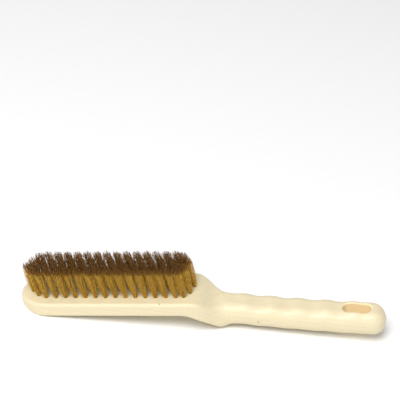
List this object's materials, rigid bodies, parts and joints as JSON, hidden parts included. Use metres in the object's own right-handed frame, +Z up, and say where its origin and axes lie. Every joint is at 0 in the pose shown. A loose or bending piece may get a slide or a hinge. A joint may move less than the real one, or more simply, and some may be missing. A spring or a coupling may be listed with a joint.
{
  "type": "wire brush",
  "caption": "Hand wire brush with a one-piece beech body, staggered rows of brass wire tufts, a lowered finger-grooved handle and a hanging slot.",
  "frame": {"origin": "on the table under the middle of the brush as it lies at rest with the bristles up, standing on its nose and on the heel behind the head", "axes": "+X along the brush from the nose to the handle end, +Z up, +Y to the left of somebody who looks along +X"},
  "size_m": [0.2911, 0.0424, 0.0544],
  "materials": {
    "wood": "sanded, unvarnished",
    "brass_wire": "crimped drawn wire, dull",
    "anchor_steel": "drawn flat wire"
  },
  "bodies": {
    "root": {"tuft_anchors_01": "anchor_steel", "tuft_anchors_02": "anchor_steel", "tuft_anchors_03": "anchor_steel", "tuft_anchors_04": "anchor_steel", "tuft_anchors_05": "anchor_steel", "tuft_anchors_06": "anchor_steel", "tuft_anchors_07": "anchor_steel", "tuft_anchors_08": "anchor_steel", "tuft_anchors_09": "anchor_steel", "tuft_anchors_10": "anchor_steel", "tuft_anchors_11": "anchor_steel", "tuft_anchors_12": "anchor_steel", "tuft_anchors_13": "anchor_steel", "tuft_anchors_14": "anchor_steel", "tuft_anchors_15": "anchor_steel", "tuft_anchors_16": "anchor_steel", "tuft_anchors_17": "anchor_steel", "wire_tufts_01": "brass_wire", "wire_tufts_02": "brass_wire", "wire_tufts_03": "brass_wire", "wire_tufts_04": "brass_wire", "wire_tufts_05": "brass_wire", "wire_tufts_06": "brass_wire", "wire_tufts_07": "brass_wire", "wire_tufts_08": "brass_wire", "wire_tufts_09": "brass_wire", "wire_tufts_10": "brass_wire", "wire_tufts_11": "brass_wire", "wire_tufts_12": "brass_wire", "wire_tufts_13": "brass_wire", "wire_tufts_14": "brass_wire", "wire_tufts_15": "brass_wire", "wire_tufts_16": "brass_wire", "wire_tufts_17": "brass_wire", "wooden_body": "wood"}
  },
  "joints": []
}
